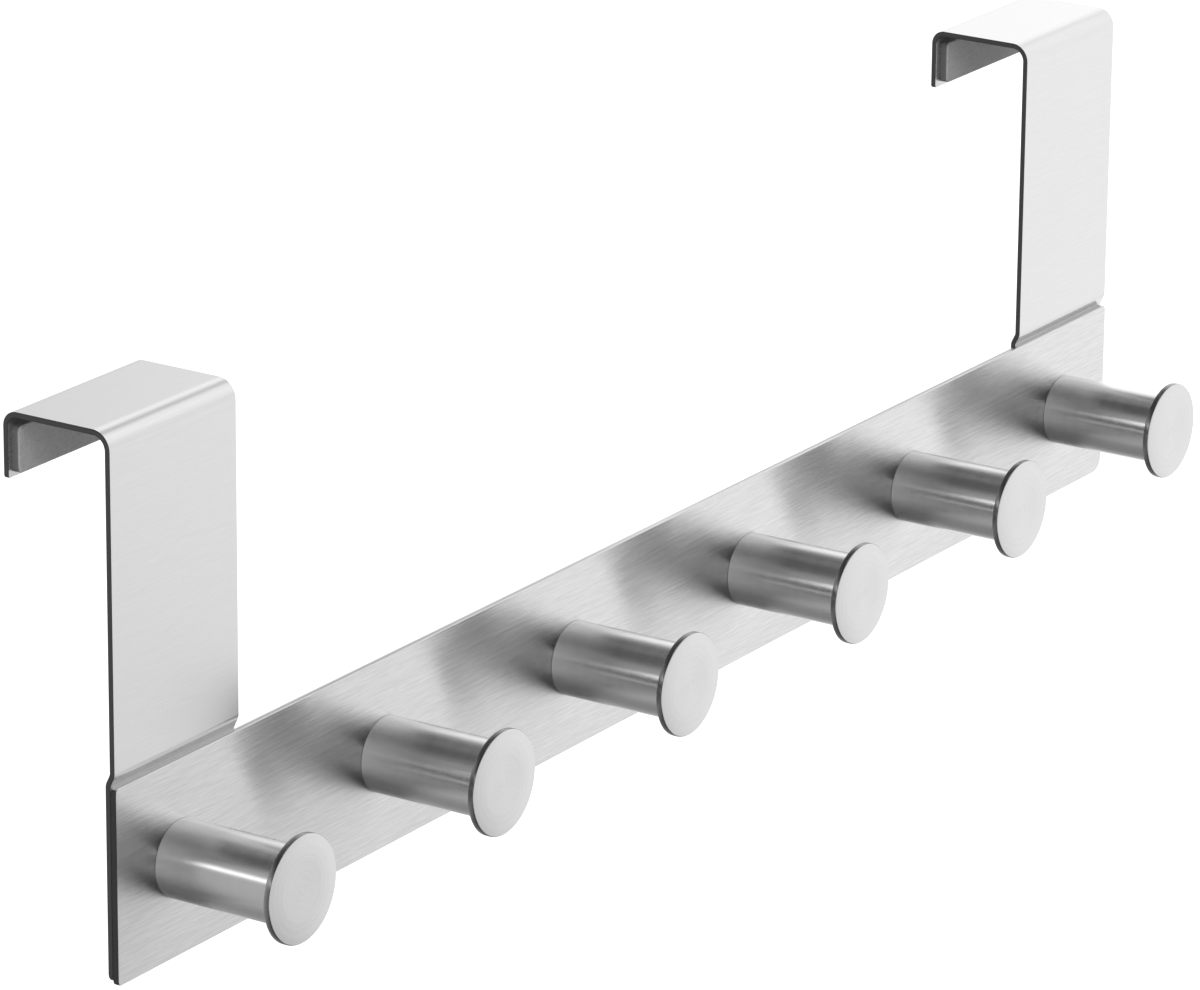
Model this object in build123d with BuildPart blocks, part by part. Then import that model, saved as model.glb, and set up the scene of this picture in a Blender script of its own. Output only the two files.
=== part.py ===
from build123d import *
import os

# Over-door peg rail in brushed stainless sheet. Millimetres.
# X runs along the rail, +Y points at the door, +Z is up.
# The origin lies on the door's top front edge, midway between the two hangers:
# Y = 0 is the back of their front legs and Z = 0 is the underside of their webs.

# Driving dimensions: the rail
rail_length = 464.0
rail_height = 49.0
rail_sheet = 1.6
rail_corner_radius = 1.3
rail_round_corner_radius = 4.0  # lower right corner, rounder than the other three
rail_edge_break = 0.15

# Driving dimensions: the two hangers
strap_width = 48.5
hanger_sheet = 1.4
hanger_rise = 86.5  # from the rail's top edge to the top of the web
door_gap = 27.7  # bare metal to bare metal, from front leg to back lip
lip_height = 16.5
front_bend_radius = 3.4  # inside radius of the bend over the door's front edge
back_bend_radius = 2.4  # inside radius of the tighter bend over its back edge
leg_recess = 0.3  # front leg behind the rail's front face
joggle_start = 0.6  # lower end of the joggle's slope above the rail's top edge
joggle_height = 2.7
joggle_radius = 1.6  # inside radius of the joggle's two bends
strap_end_gap = 0.5  # lower end of the strap above the rail's bottom edge
strap_corner_radius = 2.2
lip_corner_radius = 0.8
hanger_edge_break = 0.15

# Driving dimensions: the turned pegs
peg_count = 6
peg_length = 35.5  # from the rail to the front of the head
shaft_diameter = 19.4
head_diameter = 26.8
head_thickness = 1.6
head_front_bevel = 0.3

# Driving dimensions: the screws from behind
screw_diameter = 5.0
screw_length = 10.0  # under the head
screw_head_diameter = 10.0
screw_head_height = 1.5
recess_length = 5.0
recess_width = 1.1
recess_depth = 0.9
thread_clearance = 0.05  # all round, between the screw and the peg's tapped hole
hole_clearance = 0.25  # all round, between the screw and the sheet
tapped_depth_spare = 2.0  # hole in the peg beyond the screw's tip

# Driving dimensions: the foam pads
pad_thickness = 2.0
pad_corner_radius = 1.5
lip_pad_outer_inset = 1.5  # from the hanger's outer side
lip_pad_inner_inset = 2.9  # from the hanger's inner side
lip_pad_end_inset = 1.0  # from the lip's lower end
lip_pad_bend_gap = 0.2  # below the start of the bend
back_pad_side_inset = 4.0
back_pad_end_inset = 2.0
back_pad_head_gap = 3.0  # below the screw's head

# Places that follow from the sizes above
hanger_top = hanger_sheet
lip_inside = door_gap
lip_back = lip_inside + hanger_sheet
lip_bottom = hanger_top - lip_height
leg_front = -hanger_sheet
rail_front = leg_front - leg_recess
rail_back = rail_front + rail_sheet
rail_top = hanger_top - hanger_rise
rail_middle = rail_top - rail_height / 2
rail_bottom = rail_top - rail_height
strap_back = rail_back + hanger_sheet
strap_bottom = rail_bottom + strap_end_gap
hanger_offset = (rail_length - strap_width) / 2

# The end pegs stand in the middle of the straps behind the rail, and the rest lie evenly between them
peg_spacing = 2 * hanger_offset / (peg_count - 1)
peg_places = [-hanger_offset + i * peg_spacing for i in range(peg_count)]
end_pegs = (0, peg_count - 1)

sheet_hole_radius = screw_diameter / 2 + hole_clearance
tapped_radius = screw_diameter / 2 + thread_clearance
tapped_depth = screw_length - rail_sheet + tapped_depth_spare
shaft_radius = shaft_diameter / 2
head_radius = head_diameter / 2


def peg_axis(x):
    """Line through the middle of the peg at x, square to the rail."""
    return Axis((x, rail_front, rail_middle), (0, 1, 0))


def screw_seat(i):
    """Y of the surface that a screw's head bears on: the strap's back at the ends, else the rail's."""
    return strap_back if i in end_pegs else rail_back


def make_rail_plate():
    """Flat sheet with rounded corners, broken edges and a clearance hole behind each peg."""
    with BuildPart() as rail:
        with BuildSketch(Plane.XZ.offset(-rail_back)) as outline:
            with Locations((0, rail_middle)):
                Rectangle(rail_length, rail_height)
            corners = outline.vertices()
            round_corner = corners.sort_by_distance((rail_length, rail_bottom))[0]
            fillet([corner for corner in corners if corner != round_corner], rail_corner_radius)
            fillet(outline.vertices().sort_by_distance((rail_length, rail_bottom))[0], rail_round_corner_radius)
            with Locations([(x, rail_middle) for x in peg_places]):
                Circle(sheet_hole_radius, mode=Mode.SUBTRACT)
        extrude(amount=rail_sheet)
        flat_faces = rail.faces().filter_by(Axis.Y)
        outlines = [face.outer_wire() for face in flat_faces]
        chamfer([edge for wire in outlines for edge in wire.edges()], rail_edge_break)
    return rail


def hanger_middle_line():
    """Corner points (y, z) and bend radii of the line that runs through the middle of the sheet."""
    half = hanger_sheet / 2
    joggle_bottom = rail_top + joggle_start
    points = [
        (rail_back + half, strap_bottom),
        (rail_back + half, joggle_bottom),
        (leg_front + half, joggle_bottom + joggle_height),
        (leg_front + half, hanger_top - half),
        (lip_back - half, hanger_top - half),
        (lip_back - half, lip_bottom),
    ]
    radii = [
        joggle_radius + half,
        joggle_radius + half,
        front_bend_radius + half,
        back_bend_radius + half,
    ]
    return points, radii


def make_hanger(x):
    """Bent strap centred on x: lower end behind the rail, joggle, front leg, web and back lip."""
    points, radii = hanger_middle_line()
    with BuildPart() as hanger:
        with BuildSketch(Plane.YZ.offset(x - strap_width / 2)):
            with BuildLine():
                FilletPolyline(*points, radius=radii)
            trace(line_width=hanger_sheet)
        extrude(amount=strap_width)
        upright_corners = hanger.edges().filter_by(Axis.Y)
        fillet(upright_corners.group_by(Axis.Z)[0], strap_corner_radius)
        lip_corners = [
            edge
            for edge in hanger.edges().filter_by(Axis.Y)
            if abs(edge.center().Z - lip_bottom) < hanger_sheet / 2
        ]
        fillet(lip_corners, lip_corner_radius)
        sides = hanger.faces().filter_by(Axis.X)
        chamfer(sides.edges(), hanger_edge_break)
        with Locations(Plane.XZ.offset(-strap_back)):
            with Locations((x, rail_middle)):
                Hole(sheet_hole_radius, depth=hanger_sheet)
    return hanger


def make_peg(x):
    """Turned peg: plain shaft, thin disc head with a bevelled front rim and a tapped hole in its base."""
    head_back = head_thickness - peg_length
    with BuildPart() as peg:
        with BuildSketch(Plane((x, rail_front, rail_middle))):
            with BuildLine():
                Polyline(
                    (tapped_radius, 0),
                    (shaft_radius, 0),
                    (shaft_radius, head_back),
                    (head_radius, head_back),
                    (head_radius, head_front_bevel - peg_length),
                    (head_radius - head_front_bevel, -peg_length),
                    (0, -peg_length),
                    (0, -tapped_depth),
                    (tapped_radius, -tapped_depth),
                    close=True,
                )
            make_face()
        revolve(axis=peg_axis(x))
    return peg


def make_peg_screw(x, seat):
    """Screw with a low round head and a cross recess, driven from the back at Y = seat."""
    screw_radius = screw_diameter / 2
    screw_head_radius = screw_head_diameter / 2
    with BuildPart() as screw:
        with BuildSketch(Plane((x, seat, rail_middle))):
            with BuildLine():
                Polyline(
                    (0, screw_head_height),
                    (screw_head_radius, screw_head_height),
                    (screw_head_radius, 0),
                    (screw_radius, 0),
                    (screw_radius, -screw_length),
                    (0, -screw_length),
                    close=True,
                )
            make_face()
        revolve(axis=peg_axis(x))
        with BuildSketch(Plane.XZ.offset(-seat - screw_head_height)):
            with Locations((x, rail_middle)):
                Rectangle(recess_length, recess_width)
                Rectangle(recess_width, recess_length)
        extrude(amount=recess_depth, mode=Mode.SUBTRACT)
    return screw


def make_pad(x, z, width, height, glued_y, free_y):
    """Foam pad with rounded corners, centred on (x, z) and reaching from glued_y to free_y."""
    with BuildPart() as pad:
        with BuildSketch(Plane.XZ.offset(-glued_y)):
            with Locations((x, z)):
                RectangleRounded(width, height, pad_corner_radius)
        extrude(amount=glued_y - free_y)
    return pad


def make_lip_pad(side):
    """Pad on the inside of a back lip, nearer to the hanger's outer side than to its inner one."""
    width = strap_width - lip_pad_outer_inset - lip_pad_inner_inset
    low = lip_bottom + lip_pad_end_inset
    high = -back_bend_radius - lip_pad_bend_gap
    shift = (lip_pad_inner_inset - lip_pad_outer_inset) / 2
    x = side * (hanger_offset + shift)
    return make_pad(x, (low + high) / 2, width, high - low, lip_inside, lip_inside - pad_thickness)


def make_back_pad(side):
    """Pad on the back of a strap's lower end, under the head of the end peg's screw."""
    width = strap_width - 2 * back_pad_side_inset
    low = strap_bottom + back_pad_end_inset
    high = rail_middle - screw_head_diameter / 2 - back_pad_head_gap
    x = side * hanger_offset
    return make_pad(x, (low + high) / 2, width, high - low, strap_back, strap_back + pad_thickness)


def save(built, name):
    """Label a finished piece and write it as its own file."""
    built.part.label = name
    export_step(built.part, f"parts/{name}.step")


os.makedirs("parts", exist_ok=True)

save(make_rail_plate(), "rail_plate")

for side, word in ((-1, "left"), (1, "right")):
    save(make_hanger(side * hanger_offset), f"hanger_{word}")
    save(make_lip_pad(side), f"lip_pad_{word}")
    save(make_back_pad(side), f"back_pad_{word}")

for i, x in enumerate(peg_places):
    save(make_peg(x), f"peg_{i + 1}")
    save(make_peg_screw(x, screw_seat(i)), f"peg_screw_{i + 1}")
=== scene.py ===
# %% [markdown]
# A peg rail that hangs over a door
#
# This lesson dresses a six-peg over-door rail in brushed stainless steel. The shapes come from a packed
# model of the real construction: a flat rail, two bent strap hangers, turned pegs, screws and foam pads.
# Blender gives every surface its finish, and adds what is too fine for the construction model.
# The first cell loads the model and keeps its box, because nothing that we add may grow past it.

# %% Load the frame
import math

import bmesh
import bpy
from mathutils import Matrix, Vector, noise


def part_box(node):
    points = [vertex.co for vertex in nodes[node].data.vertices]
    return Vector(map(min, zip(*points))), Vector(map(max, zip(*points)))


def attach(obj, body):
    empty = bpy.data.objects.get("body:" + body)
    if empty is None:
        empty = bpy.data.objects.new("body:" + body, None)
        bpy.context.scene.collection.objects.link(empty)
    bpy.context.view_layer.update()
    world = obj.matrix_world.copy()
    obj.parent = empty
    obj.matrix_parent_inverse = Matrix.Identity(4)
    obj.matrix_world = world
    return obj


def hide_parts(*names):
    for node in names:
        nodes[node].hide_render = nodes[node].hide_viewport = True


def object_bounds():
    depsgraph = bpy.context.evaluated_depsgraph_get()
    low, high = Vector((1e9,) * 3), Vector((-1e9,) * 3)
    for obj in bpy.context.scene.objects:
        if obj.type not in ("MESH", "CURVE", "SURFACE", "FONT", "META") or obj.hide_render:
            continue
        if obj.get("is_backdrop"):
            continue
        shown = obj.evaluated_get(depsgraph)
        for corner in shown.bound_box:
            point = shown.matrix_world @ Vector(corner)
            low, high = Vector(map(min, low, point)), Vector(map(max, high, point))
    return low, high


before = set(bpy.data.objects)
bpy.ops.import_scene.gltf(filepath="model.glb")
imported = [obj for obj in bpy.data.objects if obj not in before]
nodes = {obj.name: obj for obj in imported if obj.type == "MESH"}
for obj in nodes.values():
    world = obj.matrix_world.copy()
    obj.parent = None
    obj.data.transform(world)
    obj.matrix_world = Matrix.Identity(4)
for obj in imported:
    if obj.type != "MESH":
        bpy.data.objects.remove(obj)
cad_low, cad_high = (list(corner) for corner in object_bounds())
print("nodes:", len(nodes), "box:", [round(high - low, 4) for low, high in zip(cad_low, cad_high)])

# %% [markdown]
# The places that the other cells need
#
# What a box can tell is measured from the frame and not typed in again, so the pegs and the pads would
# follow a longer rail. MM turns a length in millimetres into Blender's metres.

# %% Measure the frame
MM = 0.001
peg_names = [f"peg_{i}" for i in range(1, 7)]
screw_names = [f"peg_screw_{i}" for i in range(1, 7)]
hanger_names = ["hanger_left", "hanger_right"]
pad_names = ["lip_pad_left", "lip_pad_right", "back_pad_left", "back_pad_right"]
rail_low, rail_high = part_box("rail_plate")
peg_low, peg_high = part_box(peg_names[0])
head_radius = (peg_high.x - peg_low.x) / 2
print("rail length", round((rail_high.x - rail_low.x) / MM, 1), "mm")
print("head radius", round(head_radius / MM, 2), "mm")

# %% [markdown]
# Shader maths as plain expressions
#
# Nodes can be wired up one by one, but a formula is easier to read. Value wraps one output socket and
# overloads the operators that this lesson uses, so an expression such as 1 - mask adds its own nodes.

# %% Numbers that come from nodes
class Value:
    """One number output of a node, for use in Python expressions."""

    def __init__(self, graph, socket):
        self.graph = graph
        self.socket = socket

    def math(self, operation, *others):
        inputs = dict(enumerate((self, *others)))
        made = self.graph.node("ShaderNodeMath", {"operation": operation}, inputs)
        return Value(self.graph, made.outputs[0])

    def __add__(self, other):
        return self.math("ADD", other)

    def __sub__(self, other):
        return self.math("SUBTRACT", other)

    def __mul__(self, other):
        return self.math("MULTIPLY", other)

    def __rsub__(self, other):
        return self.graph.number(other).math("SUBTRACT", self)

    __radd__ = __add__
    __rmul__ = __mul__


print("a Value can be added, subtracted and multiplied")

# %% [markdown]
# One method for every node
#
# Graph.node takes a node's type, its settings and the values or links of its inputs, so that any node can
# be made in one line. The short methods after it name the nodes that this lesson uses most.

# %% Graphs of nodes
def grey(level):
    return (level, level, level, 1.0)


class Graph:
    """The nodes of one material or world."""

    def __init__(self, tree):
        self.tree = tree
        tree.nodes.clear()

    def node(self, kind, settings=None, inputs=None):
        made = self.tree.nodes.new(kind)
        for name, setting in (settings or {}).items():
            if name == "stops":
                self.set_stops(made.color_ramp, setting)
            else:
                setattr(made, name, setting)
        for key, value in (inputs or {}).items():
            self.feed(made.inputs[key], value)
        return made

    def set_stops(self, ramp, stops):
        while len(ramp.elements) < len(stops):
            ramp.elements.new(0.5)
        for element, (place, level) in zip(ramp.elements, stops):
            element.position = place
            element.color = grey(level)

    def feed(self, socket, value):
        if isinstance(value, Value):
            self.tree.links.new(value.socket, socket)
        elif isinstance(value, bpy.types.NodeSocket):
            self.tree.links.new(value, socket)
        else:
            socket.default_value = value

    def number(self, value):
        made = self.node("ShaderNodeValue")
        made.outputs[0].default_value = value
        return Value(self, made.outputs[0])

    def place(self):
        """The point on the object in metres, in the object's own frame."""
        return self.node("ShaderNodeTexCoord").outputs["Object"]

    def facing(self):
        """How far the surface looks along the object's own x, y and z, each from -1 to 1."""
        return self.axes(self.node("ShaderNodeTexCoord").outputs["Normal"])

    def axes(self, vector):
        parts = self.node("ShaderNodeSeparateXYZ", None, {0: vector}).outputs
        return [Value(self, part) for part in parts]

    def scaled(self, vector, scale):
        settings = {"operation": "MULTIPLY"}
        return self.node("ShaderNodeVectorMath", settings, {0: vector, 1: scale}).outputs[0]

    def noise(self, vector, scale=1.0, detail=2.0, roughness=0.5):
        inputs = {"Vector": vector, "Scale": scale, "Detail": detail, "Roughness": roughness}
        made = self.node("ShaderNodeTexNoise", {"noise_dimensions": "3D"}, inputs)
        return Value(self, made.outputs[0])

    def neutral(self, level):
        """A colour with no hue, whose red, green and blue all follow one value."""
        return self.node("ShaderNodeCombineColor", None, {0: level, 1: level, 2: level}).outputs[0]

    def ramp(self, value, stops):
        return self.node("ShaderNodeValToRGB", {"stops": stops}, {0: value}).outputs[0]

    def stretch(self, value, low, high, to_low=0.0, to_high=1.0):
        """The range low to high spread over to_low to to_high, and held at its ends outside it."""
        inputs = {0: value, 1: low, 2: high, 3: to_low, 4: to_high}
        return Value(self, self.node("ShaderNodeMapRange", {"clamp": True}, inputs).outputs[0])

    def blend(self, factor, first, second):
        settings = {"data_type": "RGBA"}
        made = self.node("ShaderNodeMix", settings, {0: factor, 6: first, 7: second})
        return made.outputs[2]

    def bump(self, height, strength, distance):
        inputs = {"Height": height, "Strength": strength, "Distance": distance}
        return self.node("ShaderNodeBump", None, inputs).outputs[0]


print("a Graph makes nodes such as noise, ramp, blend and bump")

# %% [markdown]
# A plain material to start from
#
# Steel and foam could have shaders of their own, but the Principled shader covers both. Each finish only
# sets or feeds its sockets.

# %% New materials
def new_material(name):
    """A material with a Principled shader on its output, and nothing else."""
    material = bpy.data.materials.new(name)
    material.use_nodes = True
    graph = Graph(material.node_tree)
    shader = graph.node("ShaderNodeBsdfPrincipled")
    graph.node("ShaderNodeOutputMaterial", None, {"Surface": shader.outputs[0]})
    return material, graph, shader


print("every finish starts from the Principled shader")

# %% [markdown]
# Brushed sheet steel
#
# The rail and the straps were brushed with an abrasive belt that ran along the rail, so fine scratches
# lie along X. A picture of brushed metal could show them, but noises stretched along X need no unwrapping
# and stay fine close up. Each noise counts by how far it is from its own middle, 0.5. On the rail, lines
# too fine to see also spread a reflection up and down but hardly sideways, which is the shader's own
# anisotropy, turned by a quarter. The straps go without it, because one direction can't fit a sheet that
# bends.
# The sheared edges of a sheet aren't brushed. A mask from the way that the surface looks makes the sides
# dull, and gives the rail's top and bottom edges a plain tone. The sides are also coloured near-black,
# which is painted shade and not the steel's own colour.

# %% Brushed sheet material
LONG_LINES = (40.0, 3800.0, 3800.0)
SHORT_LINES = (130.0, 2600.0, 2600.0)
SHEET_CLOUDS = (14.0, 40.0, 40.0)
LONG_LINE_TONE = 0.06
LONG_LINE_ROUGHNESS = 0.06
LONG_LINE_DEPTH = 0.3
SHEET_CLOUD_TONE = 0.05
SHEET_CLOUD_ROUGHNESS = 0.06
LOOKS_SIDEWAYS = (0.5, 0.65)
LOOKS_UP_OR_DOWN = (0.85, 0.95)
# painted shade: the near-black colour of the sheet's sides
SIDE_PAINTED_SHADE_TONE = 0.11
SHEARED_SIDE_ROUGHNESS = 0.22
SHEARED_TOP_TONE = 0.60
QUARTER_TURN = 0.25


def brushed_sheet(name, tone, roughness, anisotropy, scratch_depth, line_tone, flat):
    material, graph, shader = new_material(name)
    place = graph.place()
    long_lines = graph.noise(graph.scaled(place, LONG_LINES), detail=3.0, roughness=0.6)
    short_lines = graph.noise(graph.scaled(place, SHORT_LINES), detail=2.0, roughness=0.6)
    clouds = graph.noise(graph.scaled(place, SHEET_CLOUDS), detail=3.0)
    sideways, _, upwards = graph.facing()
    # the sides are dull, and their colour is painted shade
    side = graph.stretch(sideways.math("ABSOLUTE"), *LOOKS_SIDEWAYS)
    line_level = LONG_LINE_TONE * (long_lines - 0.5) + line_tone * (short_lines - 0.5)
    colour = graph.neutral(tone + line_level + SHEET_CLOUD_TONE * (clouds - 0.5))
    if flat:
        top = graph.stretch(upwards.math("ABSOLUTE"), *LOOKS_UP_OR_DOWN)
        colour = graph.blend(top, colour, grey(SHEARED_TOP_TONE))
    graph.feed(shader.inputs["Base Color"], graph.blend(side, colour, grey(SIDE_PAINTED_SHADE_TONE)))
    line_rough = LONG_LINE_ROUGHNESS * (long_lines - 0.5)
    face_rough = roughness + line_rough + SHEET_CLOUD_ROUGHNESS * (clouds - 0.5)
    graph.feed(shader.inputs["Roughness"], face_rough + side * SHEARED_SIDE_ROUGHNESS)
    lines = long_lines * LONG_LINE_DEPTH + short_lines
    graph.feed(shader.inputs["Normal"], graph.bump(lines, 1.0, scratch_depth))
    shader.inputs["Metallic"].default_value = 1.0
    shader.inputs["Anisotropic"].default_value = anisotropy
    shader.inputs["Anisotropic Rotation"].default_value = QUARTER_TURN
    return material


rail_steel = brushed_sheet(
    "rail brushed steel", tone=0.69, roughness=0.24, anisotropy=1.0,
    scratch_depth=0.022 * MM, line_tone=0.20, flat=True,
)
hanger_steel = brushed_sheet(
    "hanger brushed steel", tone=0.75, roughness=0.26, anisotropy=0.0,
    scratch_depth=0.005 * MM, line_tone=0.05, flat=False,
)
print("sheet finishes:", rail_steel.name, "and", hanger_steel.name)

# %% [markdown]
# Turned steel
#
# A peg is spun in a lathe, and the tool leaves rings round its axis. They spread a reflection along the
# shaft and keep it sharp around it, and on the disc they are circles about the middle. They are far too
# fine to model, so a noise over the distance from the axis and the place along it draws both. The peg's
# own mesh stands along its local Z, so that the shader's anisotropy, which takes its direction from that
# axis, follows the rings.
# The shaft is turned finer than the disc, so there are two finishes. The disc's outermost rim is darker.
# Faces that look back towards the rail, such as the disc's back, get painted shade.

# %% Turned steel material
FINE_RINGS = 7000.0
BROAD_RINGS = 1200.0
BROAD_RING_ROUGHNESS = 0.08
RING_STRENGTH = 0.3
TURNED_CLOUDS = 150.0
TURNED_CLOUD_TONE = 0.03
TURNED_CLOUD_ROUGHNESS = 0.05
RIM_WIDTH = 0.15 * MM
RIM_FADE = 0.1 * MM
RIM_TONE = 0.28
LOOKS_BACK = (-0.5, -0.65)
# painted shade on faces that look back towards the rail
HEAD_BACK_SHADE_TONE = 0.22


def turned_steel(name, tone, roughness, anisotropy, ring_depth, ring_tone):
    material, graph, shader = new_material(name)
    along_x, along_y, along_z = graph.axes(graph.place())
    from_axis = (along_x * along_x + along_y * along_y).math("SQRT")
    ring_place = graph.node("ShaderNodeCombineXYZ", None, {0: from_axis, 1: along_z}).outputs[0]
    fine_rings = graph.noise(ring_place, scale=FINE_RINGS)
    broad_rings = graph.noise(ring_place, scale=BROAD_RINGS)
    clouds = graph.noise(graph.place(), scale=TURNED_CLOUDS)
    rim_start = head_radius - RIM_WIDTH
    rim = graph.stretch(from_axis, rim_start, rim_start + RIM_FADE)
    # faces that look back towards the rail, which get painted shade
    head_back = graph.stretch(graph.facing()[2], *LOOKS_BACK)
    ring_level = ring_tone * (fine_rings - 0.5) + ring_tone * (broad_rings - 0.5)
    colour = graph.neutral(tone + ring_level + TURNED_CLOUD_TONE * (clouds - 0.5))
    with_darker_rim = graph.blend(rim, colour, grey(RIM_TONE))
    graph.feed(shader.inputs["Base Color"], graph.blend(head_back, with_darker_rim, grey(HEAD_BACK_SHADE_TONE)))
    ring_rough = BROAD_RING_ROUGHNESS * (broad_rings - 0.5)
    graph.feed(shader.inputs["Roughness"], roughness + ring_rough + TURNED_CLOUD_ROUGHNESS * (clouds - 0.5))
    rings = fine_rings * 0.5 + broad_rings * 0.5
    graph.feed(shader.inputs["Normal"], graph.bump(rings, RING_STRENGTH, ring_depth))
    shader.inputs["Metallic"].default_value = 1.0
    shader.inputs["Anisotropic"].default_value = anisotropy
    shader.inputs["Anisotropic Rotation"].default_value = QUARTER_TURN
    return material


shaft_steel = turned_steel(
    "turned shaft steel", tone=0.79, roughness=0.23, anisotropy=0.88,
    ring_depth=0.0005 * MM, ring_tone=0.02,
)
head_steel = turned_steel(
    "turned head steel", tone=0.70, roughness=0.26, anisotropy=0.3,
    ring_depth=0.012 * MM, ring_tone=0.08,
)
print("turned finishes:", shaft_steel.name, "and", head_steel.name)

# %% [markdown]
# Screw steel
#
# The screws are bright zinc-plated. One flat grey would do from far away, but a soft, cloudy noise varies
# their tone and their gloss a little, as plating does. There are no lines in it.

# %% Screw steel material
PLATING_CLOUDS = 600.0
PLATING_TONES = [(0.3, 0.55), (0.7, 0.68)]
PLATING_ROUGHNESS = 0.26
PLATING_ROUGHNESS_SPREAD = 0.15


def plated_steel(name):
    material, graph, shader = new_material(name)
    clouds = graph.noise(graph.place(), scale=PLATING_CLOUDS, detail=3.0)
    graph.feed(shader.inputs["Base Color"], graph.ramp(clouds, PLATING_TONES))
    uneven = PLATING_ROUGHNESS_SPREAD * (clouds - 0.5)
    graph.feed(shader.inputs["Roughness"], PLATING_ROUGHNESS + uneven)
    shader.inputs["Metallic"].default_value = 1.0
    return material


screw_steel = plated_steel("plated steel")
print("screw finish:", screw_steel.name)

# %% [markdown]
# Foam
#
# The pads are closed-cell foam: dull, and full of pores that are too small to model, so a bump makes them.
# The pads were cut from a sheet, and their sides are darker than their faces. A mask from the way that
# the surface looks tells them apart.

# %% Foam material
PORES = 2500.0
PORE_STRENGTH = 0.5
PORE_DEPTH = 0.1 * MM
FOAM_TONES = [(0.3, 0.30), (0.7, 0.40)]
FOAM_ROUGHNESS = 0.9
DARKER_FOAM_SIDE_TONE = 0.12
LOOKS_OUT = (0.3, 0.7)


def foam(name):
    material, graph, shader = new_material(name)
    pores = graph.noise(graph.place(), scale=PORES)
    skin_mask = graph.stretch(graph.facing()[1].math("ABSOLUTE"), *LOOKS_OUT)
    colour = graph.blend(skin_mask, grey(DARKER_FOAM_SIDE_TONE), graph.ramp(pores, FOAM_TONES))
    graph.feed(shader.inputs["Base Color"], colour)
    graph.feed(shader.inputs["Normal"], graph.bump(pores, PORE_STRENGTH, PORE_DEPTH))
    shader.inputs["Roughness"].default_value = FOAM_ROUGHNESS
    return material


pad_foam = foam("pad foam")
print("pad finish:", pad_foam.name)

# %% [markdown]
# Put the finishes on the carried-over pieces
#
# The rail, the straps and the screws could be made again here, but the construction model already has
# their true bends, holes and edges, so only their material changes.

# %% Assign materials
def dress(names, material):
    for name in names:
        for slot in nodes[name].material_slots:
            slot.material = material
    print(material.name, "on", ", ".join(names))


dress(["rail_plate"], rail_steel)
dress(hanger_names, hanger_steel)
dress(screw_names, screw_steel)

# %% [markdown]
# Surfaces made of rings
#
# One modifier could spin the pegs and another could round the pads, but both are also just rings of
# points, one behind the other, and one function can make them. skin joins each ring to the next with
# faces, and a ring of one point closes an end. Edges that turn by more than crisp degrees stay sharp.

# %% Skins over rings
def skin(name, rings, material, crisp=35.0):
    surface = bmesh.new()
    rows = [[surface.verts.new(point) for point in ring] for ring in rings]
    for first, second in zip(rows, rows[1:]):
        count = max(len(first), len(second))
        for i in range(count):
            j = (i + 1) % count
            near = (first[i % len(first)], first[j % len(first)])
            far = (second[j % len(second)], second[i % len(second)])
            surface.faces.new(list(dict.fromkeys(near + far)))
    bmesh.ops.recalc_face_normals(surface, faces=surface.faces)
    mesh = bpy.data.meshes.new(name)
    surface.to_mesh(mesh)
    surface.free()
    mesh.shade_smooth()
    mesh.set_sharp_from_angle(angle=math.radians(crisp))
    mesh.materials.append(material)
    piece = bpy.data.objects.new(name, mesh)
    bpy.context.collection.objects.link(piece)
    return piece


def arc(centre_across, centre_along, radius, start, end, steps):
    """Points (across, along) on an arc between two angles in degrees."""
    angles = [math.radians(start + (end - start) * i / steps) for i in range(steps + 1)]
    return [(centre_across + radius * math.cos(a), centre_along + radius * math.sin(a)) for a in angles]


print("ring helpers ready")

# %% [markdown]
# The pegs
#
# A cylinder with a bevel would come close to a peg, but a profile spun round its axis, as on a lathe,
# gives each edge its own rounding. The rim's rounding catches a bright line. The peg's length and its
# head's width come from its node's box. The shaft, the thickness of the head and the bore for the screw
# can't be read from a box, so they are given as in the model. The head's faces get their own finish.

# %% Turned pegs
PEG_SEGMENTS = 128
SHAFT_RADIUS = 9.7 * MM
HEAD_THICKNESS = 1.6 * MM
FRONT_ROUND = 0.35 * MM
FRONT_STEPS = 6
BACK_ROUND = 0.15 * MM
BACK_STEPS = 3
BORE_RADIUS = 2.55 * MM
BORE_DEPTH = 10.4 * MM


def peg_profile(disc_radius, length):
    """Points (from the axis, along it) from the bottom of the bore, round the peg, to the head's middle."""
    head_back = length - HEAD_THICKNESS
    return [
        (0.0, BORE_DEPTH),
        (BORE_RADIUS, BORE_DEPTH),
        (BORE_RADIUS, 0.0),
        *arc(SHAFT_RADIUS - BACK_ROUND, BACK_ROUND, BACK_ROUND, -90, 0, BACK_STEPS),
        (SHAFT_RADIUS, head_back / 2),
        (SHAFT_RADIUS, head_back),
        *arc(disc_radius - BACK_ROUND, head_back + BACK_ROUND, BACK_ROUND, -90, 0, BACK_STEPS),
        *arc(disc_radius - FRONT_ROUND, length - FRONT_ROUND, FRONT_ROUND, 0, 90, FRONT_STEPS),
        (disc_radius / 2, length),
        (0.0, length),
    ]


def spun(profile, segments):
    rings = []
    for across, along in profile:
        turns = [2 * math.pi * i / segments for i in range(segments if across > 0 else 1)]
        rings.append([(across * math.cos(turn), across * math.sin(turn), along) for turn in turns])
    return rings


for name in peg_names:
    low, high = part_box(name)
    length = high.y - low.y
    profile = peg_profile((high.x - low.x) / 2, length)
    peg = skin(name.replace("peg", "turned_peg"), spun(profile, PEG_SEGMENTS), shaft_steel)
    peg.data.materials.append(head_steel)
    head_start = length - HEAD_THICKNESS - BACK_ROUND
    for face in peg.data.polygons:
        face.material_index = 1 if face.center.z > head_start else 0
    peg.location = ((low.x + high.x) / 2, high.y, (low.z + high.z) / 2)
    peg.rotation_euler = (math.radians(90), 0, 0)
    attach(peg, "root")
    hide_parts(name)
    print(peg.name, "length", round(length / MM, 2), "mm, faces", len(peg.data.polygons))

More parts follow.
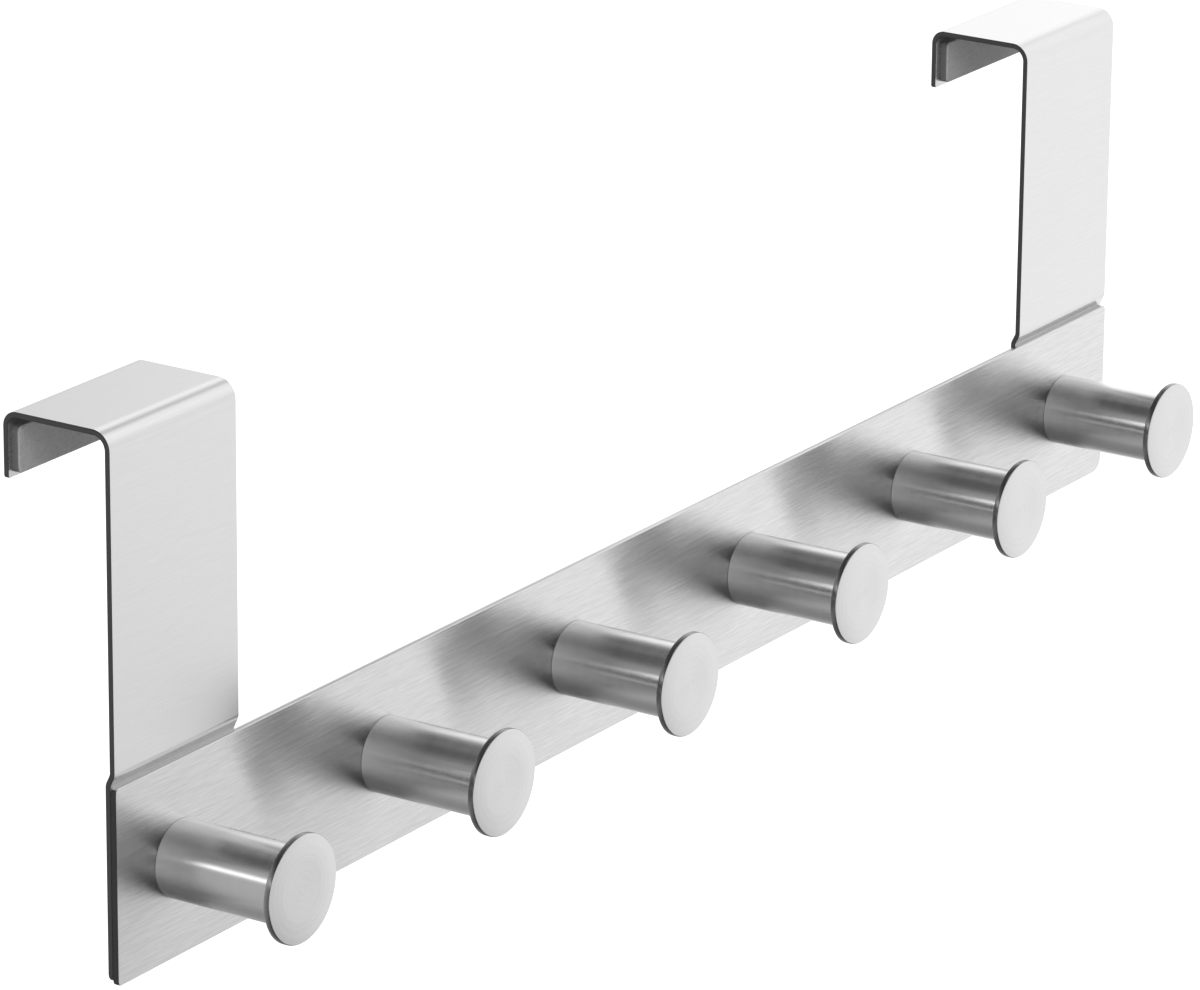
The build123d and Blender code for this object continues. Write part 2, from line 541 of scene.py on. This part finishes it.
# %% [markdown]
# The foam pads
#
# A pad is a strip of foam, cut with rounded corners and glued flat to the steel. Its glued face stays
# flat. Its free edge is soft and its face is a little uneven, as foam is, so the rings are pressed in by
# a low noise, which gives the same result on every run. Foam this thin and stiff doesn't billow, so it
# needs no cloth simulation.

# %% Soft pads
PAD_CORNER = 1.5 * MM
PAD_SMALLEST_CORNER = 0.2 * MM
PAD_EDGE = 0.5 * MM
PAD_EDGE_STEPS = 5
PAD_WAIST = 0.08 * MM
PAD_FACE_RINGS = (0.1, 0.2, 0.3, 0.4, 0.47)
PAD_WAVE = 0.10 * MM
WAVES_PER_METRE = 260.0
PAD_CRISP = 60.0


def rounded_ring(width, height, radius, steps=6, straight=10):
    """Points (x, z) of a rectangle with round corners, evenly placed on its sides."""
    ring = []
    for turn, (side_x, side_z) in enumerate(((1, 1), (-1, 1), (-1, -1), (1, -1))):
        centre_x = side_x * (width / 2 - radius)
        centre_z = side_z * (height / 2 - radius)
        ring += arc(centre_x, centre_z, radius, 90 * turn, 90 * turn + 90, steps)
        run_x, run_z = (2 * centre_x, 0.0) if turn % 2 == 0 else (0.0, 2 * centre_z)
        end_x, end_z = ring[-1]
        shares = [i / straight for i in range(1, straight)]
        ring += [(end_x - run_x * share, end_z - run_z * share) for share in shares]
    return ring


def pad_layers(height, thickness):
    """Insets and heights above the glued face, from its edge up and over to the middle of the free face."""
    quarter = arc(0.0, -PAD_EDGE, PAD_EDGE, 0, 90, PAD_EDGE_STEPS)
    edge = [(PAD_EDGE - across, along) for across, along in quarter]
    layers = [(0.0, 0.0), (PAD_WAIST, 0.5 * thickness)]
    layers += [(inset, thickness + along) for inset, along in edge]
    return layers + [(height * share, thickness) for share in PAD_FACE_RINGS]


def make_pad(name, low, high, glued_y, free_y):
    width, height = high.x - low.x, high.z - low.z
    middle_x, middle_z = (low.x + high.x) / 2, (low.z + high.z) / 2
    depth = free_y - glued_y
    thickness = abs(depth)
    rings = [[(middle_x, glued_y, middle_z)]]
    for inset, along in pad_layers(height, thickness):
        corner = max(PAD_CORNER - inset, PAD_SMALLEST_CORNER)
        looseness = PAD_WAVE * min(along / thickness, 1.0) ** 2
        ring = []
        for x, z in rounded_ring(width - 2 * inset, height - 2 * inset, corner):
            wave = noise.noise(Vector((x, z, middle_x)) * WAVES_PER_METRE) * looseness
            share = (along - abs(wave)) / thickness
            ring.append((middle_x + x, glued_y + depth * share, middle_z + z))
        rings.append(ring)
    rings.append([(middle_x, free_y, middle_z)])
    return skin(name, rings, pad_foam, crisp=PAD_CRISP)


for name in pad_names:
    low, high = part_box(name)
    glued_y, free_y = (high.y, low.y) if name.startswith("lip") else (low.y, high.y)
    pad = make_pad(name.replace("pad", "foam"), low, high, glued_y, free_y)
    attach(pad, "root")
    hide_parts(name)
    print(pad.name, "faces", len(pad.data.polygons))

# %% [markdown]
# The camera
#
# The photographer stood well back with a long lens, to the left of the rail and above it. A camera could
# be matched by eye, but this one was worked out from the rail's corners and the pegs' discs: a place in
# metres, two directions, and a focal length in the photo's pixels. The point that the lens looks straight
# at is CENTRE_X, CENTRE_Y in the photo, and a small shift puts it there.

# %% Camera
PICTURE_WIDTH = 1200
PICTURE_HEIGHT = 990
FOCAL_PIXELS = 6817.9
CENTRE_X = 614.5
CENTRE_Y = 476.8
SENSOR_WIDTH = 36.0
camera_place = Vector((-1.39693, -0.89647, 0.48193))
camera_forward = Vector((0.79473, 0.51750, -0.31718))
camera_right = Vector((0.54811, -0.83636, 0.00877))

camera_data = bpy.data.cameras.new("camera")
camera_data.sensor_width = SENSOR_WIDTH
camera_data.sensor_fit = "HORIZONTAL"
camera_data.lens = FOCAL_PIXELS / PICTURE_WIDTH * SENSOR_WIDTH
camera_data.shift_x = (PICTURE_WIDTH / 2 - CENTRE_X) / PICTURE_WIDTH
camera_data.shift_y = (CENTRE_Y - PICTURE_HEIGHT / 2) / PICTURE_WIDTH
camera_data.clip_end = 100.0
camera = bpy.data.objects.new("camera", camera_data)
bpy.context.collection.objects.link(camera)
back = -camera_forward.normalized()
right = (camera_right - camera_right.dot(back) * back).normalized()
up = back.cross(right)
turn = Matrix((right, up, back)).transposed().to_4x4()
camera.matrix_world = Matrix.Translation(camera_place) @ turn
bpy.context.scene.camera = camera
print("lens", round(camera_data.lens, 1), "mm")
print("shift", round(camera_data.shift_x, 4), round(camera_data.shift_y, 4))

# %% [markdown]
# The room that the metal mirrors
#
# Polished metal is a picture of the room around it, so the room matters more than the lamps. Panels round
# the object could make that picture, but they would also light and shade the foam. So the room is drawn
# in the world, as one grey tone for each direction: across runs to the right along the rail, depth runs
# into the door and height runs up, each from -1 to 1. Only glossy rays see this room, and all other rays
# see plain white. Cycles would aim some of its light samples at that white and so veil the dark
# reflections, which is why the world's own sampling is off.

# %% Directions in the room
world = bpy.data.worlds.new("studio")
bpy.context.scene.world = world
world.use_nodes = True
world.cycles.sampling_method = "NONE"
room = Graph(world.node_tree)
across, depth, height = room.axes(room.node("ShaderNodeTexCoord").outputs["Generated"])
print("world", world.name, "sampling", world.cycles.sampling_method)

# %% [markdown]
# Walls and floor of the room
#
# Seen from the photo's side, the rail's face mirrors the right of the room, and the left shows on the
# shafts. One ramp draws the walls, from the left and the back to the right and the front: grey at first,
# then as bright as a window. The floor is dim, and less so on the right, where it comes up towards the
# front. Each pair of numbers is where a soft edge begins and ends.

# %% Walls and floor
WALL_DEPTH_SHARE = 0.75
WALL_SCALE = 0.4
WALL_MIDDLE = 0.5
WALL_TONES = [
    (0.0, 0.38), (0.20, 0.34), (0.45, 0.34), (0.56, 0.45), (0.632, 0.95),
    (0.688, 1.30), (0.748, 1.26), (0.84, 1.13), (1.0, 1.13),
]
FLOOR_LEFT_TONE = 0.22
FLOOR_RIGHT_TONE = 0.60
FLOOR_TO_RIGHT = (0.45, 0.80)
FLOOR_EDGE = (-0.84, -0.69)
TILT_TO_RIGHT = (0.0, 0.5)
FLOOR_TILT = 0.69

wall_place = (across - depth * WALL_DEPTH_SHARE) * WALL_SCALE + WALL_MIDDLE
wall = room.ramp(wall_place, WALL_TONES)
floor_to_right = room.stretch(across, *FLOOR_TO_RIGHT)
floor_tone = room.blend(floor_to_right, grey(FLOOR_LEFT_TONE), grey(FLOOR_RIGHT_TONE))
tilt = room.stretch(across, *TILT_TO_RIGHT, 0.0, FLOOR_TILT)
above_floor = room.stretch(height + depth * tilt, *FLOOR_EDGE)
wall_and_floor = room.blend(above_floor, floor_tone, wall)
print("wall tones from", WALL_TONES[0][1], "to", WALL_TONES[-1][1])

# %% [markdown]
# The ceiling
#
# The upper part of each shaft mirrors the ceiling and is dull in the photo, so the ceiling is dark. It is
# light only in front on the right, and it starts higher up in the room's right-hand corners.

# %% Ceiling
CEILING_EDGE = (0.72, 0.52)
CORNER_START = 0.75
CORNER_LIFT = 0.5
CEILING_TONE = 0.10
FRONT_CEILING_TONE = 0.08
RIGHT_CEILING_TONE = 0.80
CEILING_TO_FRONT = (0.1, -0.4)
CEILING_TO_RIGHT = (0.15, 0.55)

right_corners = (across + depth.math("ABSOLUTE") - CORNER_START).math("MAXIMUM", 0.0)
under_ceiling = room.stretch(height - right_corners * CORNER_LIFT, *CEILING_EDGE)
ceiling_to_right = room.stretch(across, *CEILING_TO_RIGHT)
front_ceiling = room.blend(ceiling_to_right, grey(FRONT_CEILING_TONE), grey(RIGHT_CEILING_TONE))
ceiling = room.blend(room.stretch(depth, *CEILING_TO_FRONT), grey(CEILING_TONE), front_ceiling)
print("ceiling tones", CEILING_TONE, FRONT_CEILING_TONE, RIGHT_CEILING_TONE)

# %% [markdown]
# The dark front
#
# In the photo, each peg casts a dark patch into the rail beside its base. That is the peg's own picture,
# and the peg mirrors the front and the left of the room, so these are dark. A less dark strip at the far
# left carries the bright line of each shaft on towards its base, and a black spot lies up on the left,
# where a photographer would stand.

# %% The dark front
LOW_FRONT_TONE = 0.08
LOW_FRONT_DEPTH = (0.0, -0.3)
LOW_FRONT_HEIGHT = (-0.40, -0.50)
LOW_FRONT_ACROSS = (0.60, 0.40)
LEFT_FRONT_TONE = 0.05
LEFT_FRONT_DEPTH = (0.0, -0.4)
LEFT_FRONT_ACROSS = (0.1, -0.4)
FAR_LEFT_TONE = 0.38
FAR_LEFT_DEPTH = (0.0, -0.3)
FAR_LEFT_ACROSS = (-0.70, -0.80)
DARK_SPOT_TONE = 0.02
DARK_SPOT = (-0.72, -0.47, 0.50)
DARK_SPOT_EDGE = (0.74, 0.88)

low_front = room.stretch(depth, *LOW_FRONT_DEPTH) * room.stretch(height, *LOW_FRONT_HEIGHT)
low_front = low_front * room.stretch(across, *LOW_FRONT_ACROSS)
low_walls = room.blend(low_front, wall_and_floor, grey(LOW_FRONT_TONE))
far_left = room.stretch(across, *FAR_LEFT_ACROSS) * room.stretch(depth, *FAR_LEFT_DEPTH)
left_front_tone = room.blend(far_left, grey(LEFT_FRONT_TONE), grey(FAR_LEFT_TONE))
left_front = room.stretch(across, *LEFT_FRONT_ACROSS) * room.stretch(depth, *LEFT_FRONT_DEPTH)
shaded_walls = room.blend(left_front, low_walls, left_front_tone)
inner_room = room.blend(under_ceiling, ceiling, shaded_walls)
towards_spot = across * DARK_SPOT[0] + depth * DARK_SPOT[1] + height * DARK_SPOT[2]
in_spot = room.stretch(towards_spot, *DARK_SPOT_EDGE)
dark_room = room.blend(in_spot, inner_room, grey(DARK_SPOT_TONE))
print("dark front tones", LOW_FRONT_TONE, LEFT_FRONT_TONE, FAR_LEFT_TONE, DARK_SPOT_TONE)

# %% [markdown]
# End walls and the overhead panel
#
# From the photo's side, the metal hardly mirrors what is straight in front, straight behind or overhead.
# These parts are light, so that the rail also looks like steel from the right, from behind and from above.

# %% End walls
FRONT_WALL_TONE = 0.78
FRONT_WALL_DEPTH = (-0.61, -0.68)
FRONT_WALL_FOOT = (-0.60, -0.42)
BACK_WALL_DEPTH = (0.58, 0.74)
END_WALL_TONE = 0.95
END_WALL_TOP = (0.66, 0.52)
OVERHEAD = (0.965, 0.99)

under_top = room.stretch(height, *END_WALL_TOP)
front_wall = room.stretch(depth, *FRONT_WALL_DEPTH) * under_top * room.stretch(height, *FRONT_WALL_FOOT)
back_wall = room.stretch(depth, *BACK_WALL_DEPTH) * under_top
overhead = room.stretch(height, *OVERHEAD)
with_front_wall = room.blend(front_wall, dark_room, grey(FRONT_WALL_TONE))
room_tone = room.blend(back_wall.math("MAXIMUM", overhead), with_front_wall, grey(END_WALL_TONE))
print("end wall tones", FRONT_WALL_TONE, "and", END_WALL_TONE)

# %% [markdown]
# The softbox and the white background
#
# A long softbox on the left wall, a little above the object, draws the bright line along each peg. It
# fades towards the front. A real lamp would also light the foam, so the softbox is a part of the drawn
# room. Light Path then picks what a ray sees: that room or plain white.

# %% Softbox and background
SOFTBOX_LEVEL = 2.0
SOFTBOX_HEIGHT = 0.33
SOFTBOX_EDGE = (0.11, 0.01)
SOFTBOX_ACROSS = (-0.55, -0.75)
SOFTBOX_DEPTH = (-0.5, 0.1)
SOFTBOX_FADE = (0.3, 1.0)

off_level = (height - SOFTBOX_HEIGHT).math("ABSOLUTE")
softbox = room.stretch(across, *SOFTBOX_ACROSS) * room.stretch(off_level, *SOFTBOX_EDGE)
softbox = softbox * room.stretch(depth, *SOFTBOX_DEPTH, *SOFTBOX_FADE)
walls = room.node("ShaderNodeBackground", None, {"Color": room_tone, "Strength": 1.0})
panel = room.node("ShaderNodeBackground", None, {"Color": grey(1.0), "Strength": SOFTBOX_LEVEL})
white = room.node("ShaderNodeBackground", None, {"Color": grey(1.0), "Strength": 1.0})
mirror_ray = Value(room, room.node("ShaderNodeLightPath").outputs["Is Glossy Ray"])
lit_walls = {0: softbox, 1: walls.outputs[0], 2: panel.outputs[0]}
mirrored = room.node("ShaderNodeMixShader", None, lit_walls)
seen = room.node("ShaderNodeMixShader", None, {0: mirror_ray, 1: white.outputs[0], 2: mirrored.outputs[0]})
room.node("ShaderNodeOutputWorld", None, {"Surface": seen.outputs[0]})
print("softbox at height", SOFTBOX_HEIGHT, "with", SOFTBOX_LEVEL, "times white")

# %% [markdown]
# The floor
#
# The rail hangs in the air, well above a pale, matt floor that sends soft light up to the foam. For the
# camera alone the floor also glows, which brings it up to the white of the photo's background, and this
# glow lights nothing. The metal doesn't mirror this floor, because its room has a floor of its own.

# %% Floor
FLOOR_DROP = 0.35
FLOOR_HALF = 12.0
FLOOR_TONE = 0.8
FLOOR_ROUGHNESS = 0.9
FLOOR_GLOW = 0.5

floor_mesh = bpy.data.meshes.new("floor")
floor_z = cad_low[2] - FLOOR_DROP
sides = ((-1, -1), (1, -1), (1, 1), (-1, 1))
floor_mesh.from_pydata([(x * FLOOR_HALF, y * FLOOR_HALF, floor_z) for x, y in sides], [], [(0, 1, 2, 3)])
floor = bpy.data.objects.new("floor", floor_mesh)
bpy.context.collection.objects.link(floor)
floor.visible_glossy = False
floor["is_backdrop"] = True
floor_material, floor_graph, floor_shader = new_material("pale floor")
floor_shader.inputs["Base Color"].default_value = grey(FLOOR_TONE)
floor_shader.inputs["Roughness"].default_value = FLOOR_ROUGHNESS
seen_directly = floor_graph.node("ShaderNodeLightPath").outputs["Is Camera Ray"]
glow = floor_graph.blend(seen_directly, grey(0.0), grey(FLOOR_GLOW))
floor_graph.feed(floor_shader.inputs["Emission Color"], glow)
floor_shader.inputs["Emission Strength"].default_value = 1.0
floor_mesh.materials.append(floor_material)
print("floor", FLOOR_DROP, "m under the rail")

# %% [markdown]
# The lamp
#
# One large soft lamp stands high in front, on the left. It lights the foam and the floor, and the white
# world fills in the rest. The metal doesn't mirror it, because its highlights come from the drawn room.

# %% Lamp
def soft_lamp(name, place, target, size, power):
    lamp = bpy.data.lights.new(name, "AREA")
    lamp.shape = "RECTANGLE"
    lamp.size, lamp.size_y = size
    lamp.energy = power
    holder = bpy.data.objects.new(name, lamp)
    holder.location = place
    aim = Vector(target) - Vector(place)
    holder.rotation_euler = aim.to_track_quat("-Z", "Y").to_euler()
    holder.visible_glossy = False
    bpy.context.collection.objects.link(holder)
    print(name, "at", place, "with", power, "W")


soft_lamp("key lamp", place=(-1.6, -2.2, 1.9), target=(0, 0, -0.05), size=(1.2, 0.8), power=20.0)

# %% [markdown]
# Finish
#
# The view transform is Standard, so that a colour renders as it is written.

# %% Finish
bpy.context.scene.view_settings.view_transform = "Standard"
low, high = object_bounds()
